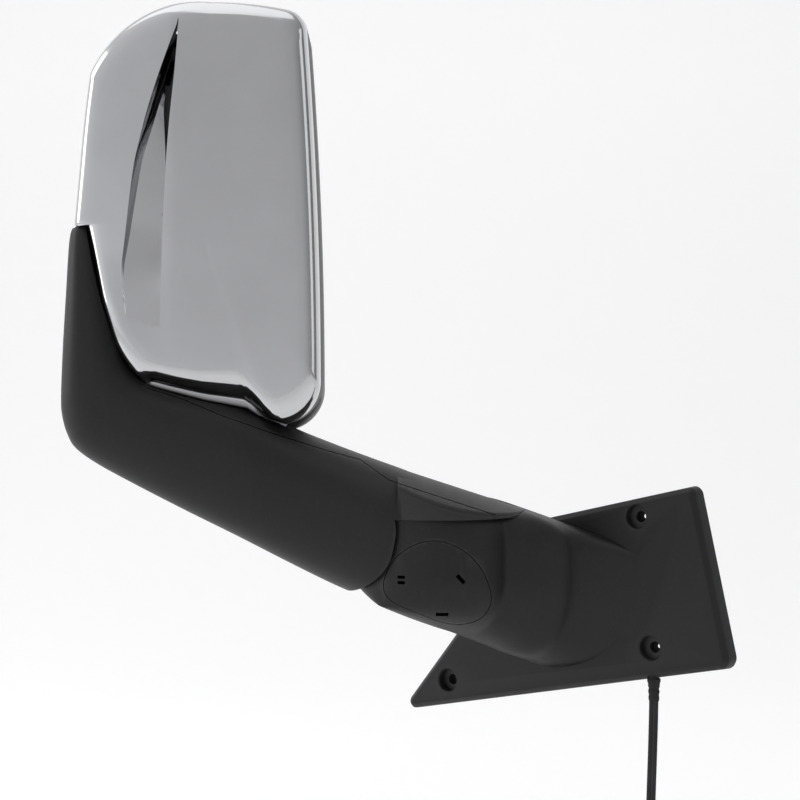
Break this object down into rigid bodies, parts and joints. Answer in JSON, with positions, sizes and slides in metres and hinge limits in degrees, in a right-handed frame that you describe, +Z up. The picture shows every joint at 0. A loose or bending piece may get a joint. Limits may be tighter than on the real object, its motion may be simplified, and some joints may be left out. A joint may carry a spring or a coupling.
{
  "type": "side mirror",
  "caption": "Folding door mirror for a truck cab: chrome-covered head with a flat and a convex glass, black arm, door plate with a fold pivot, and a twin lead.",
  "frame": {"origin": "centre of the base plate on the door face", "axes": "+X to the front of the vehicle along the door, +Y into the door, -Y outboard, +Z up"},
  "size_m": [0.6717, 0.4346, 1.0622],
  "materials": {
    "cover_plastic": "fine-grained black",
    "casting": "as cast",
    "gasket_foam": "closed-cell foam",
    "steel_tube": "turned",
    "spring_steel": "phosphated",
    "zinc_screw": "zinc plated",
    "bush_brass": "sintered",
    "frame_plastic": "glass-filled nylon",
    "chrome_skin": "bright chrome plating on plastic",
    "housing_plastic": "smooth dark grey",
    "terminal_plastic": "natural nylon",
    "actuator_plastic": "smooth black",
    "motor_steel": "drawn can",
    "jack_steel": "plated",
    "heater_film": "amber film",
    "mirror_glass": "silvered glass",
    "lead_jacket": "black twin jacket",
    "grommet_rubber": "soft black rubber",
    "plug_plastic": "black nylon"
  },
  "bodies": {
    "base": {"base_cover": "cover_plastic", "base_bracket": "casting", "door_gasket": "gasket_foam", "access_cap": "cover_plastic", "base_cover_screws": "zinc_screw", "pivot_tube": "steel_tube", "friction_washer": "bush_brass", "spring_washer": "spring_steel", "disc_springs": "spring_steel", "pivot_nut": "steel_tube", "base_lead": "lead_jacket", "cable_grommet": "grommet_rubber", "door_lead": "lead_jacket", "door_lead_coil": "lead_jacket", "coil_tie": "plug_plastic", "door_plug": "plug_plastic"},
    "arm": {"arm_core": "casting", "pivot_bushes": "bush_brass", "arm_front_cover": "cover_plastic", "arm_rear_cover": "cover_plastic", "arm_top_cover": "cover_plastic", "arm_cover_screws": "zinc_screw", "head_frame": "frame_plastic", "head_frame_bolts": "zinc_screw", "chrome_cover": "chrome_skin", "rear_housing": "housing_plastic", "housing_screws": "zinc_screw", "main_actuator_case": "actuator_plastic", "main_actuator_lid": "actuator_plastic", "main_motors": "motor_steel", "convex_actuator_case": "actuator_plastic", "convex_actuator_lid": "actuator_plastic", "convex_motors": "motor_steel", "head_terminal_block": "terminal_plastic", "arm_lead": "lead_jacket"},
    "main_ring": {"main_pivot_ring": "actuator_plastic"},
    "main_mirror": {"main_glass_holder": "actuator_plastic", "main_heater_pad": "heater_film", "main_glass": "mirror_glass"},
    "main_tilt_screw": {"main_tilt_jack": "jack_steel"},
    "main_pan_screw": {"main_pan_jack": "jack_steel"},
    "convex_ring": {"convex_pivot_ring": "actuator_plastic"},
    "convex_mirror": {"convex_glass_holder": "actuator_plastic", "convex_heater_pad": "heater_film", "convex_glass": "mirror_glass"},
    "convex_tilt_screw": {"convex_tilt_jack": "jack_steel"},
    "convex_pan_screw": {"convex_pan_jack": "jack_steel"}
  },
  "joints": [
    {"name": "arm_fold", "type": "hinge", "parent": "base", "child": "arm", "pos_m": [-0.122, -0.125, 0.118], "axis": [0, 0, 1], "range_deg": [-40, 60]},
    {"name": "main_pan", "type": "hinge", "parent": "arm", "child": "main_ring", "pos_m": [-0.33501, -0.28808, 0.54], "axis": [0, 0, 1], "range_deg": [-8, 8]},
    {"name": "main_tilt", "type": "hinge", "parent": "main_ring", "child": "main_mirror", "pos_m": [-0.33501, -0.28808, 0.54], "axis": [0.766, 0.6428, 0], "range_deg": [-8, 8]},
    {"name": "main_tilt_jack_slide", "type": "slide", "parent": "arm", "child": "main_tilt_screw", "axis": [-0.6428, 0.766, 0], "range_m": [-0.0054, 0.0054]},
    {"name": "main_pan_jack_slide", "type": "slide", "parent": "arm", "child": "main_pan_screw", "axis": [-0.6428, 0.766, 0], "range_m": [-0.0054, 0.0054]},
    {"name": "convex_pan", "type": "hinge", "parent": "arm", "child": "convex_ring", "pos_m": [-0.32122, -0.2765, 0.322], "axis": [0, 0, 1], "range_deg": [-8, 8]},
    {"name": "convex_tilt", "type": "hinge", "parent": "convex_ring", "child": "convex_mirror", "pos_m": [-0.32122, -0.2765, 0.322], "axis": [0.766, 0.6428, 0], "range_deg": [-8, 8]},
    {"name": "convex_tilt_jack_slide", "type": "slide", "parent": "arm", "child": "convex_tilt_screw", "axis": [-0.6428, 0.766, 0], "range_m": [-0.0054, 0.0054]},
    {"name": "convex_pan_jack_slide", "type": "slide", "parent": "arm", "child": "convex_pan_screw", "axis": [-0.6428, 0.766, 0], "range_m": [-0.0054, 0.0054]}
  ],
  "couplings": [
    {"joint": "main_tilt_jack_slide", "follows": "main_tilt", "m_per_rad": -0.038},
    {"joint": "main_pan_jack_slide", "follows": "main_pan", "m_per_rad": 0.038},
    {"joint": "convex_tilt_jack_slide", "follows": "convex_tilt", "m_per_rad": -0.038},
    {"joint": "convex_pan_jack_slide", "follows": "convex_pan", "m_per_rad": 0.038}
  ]
}
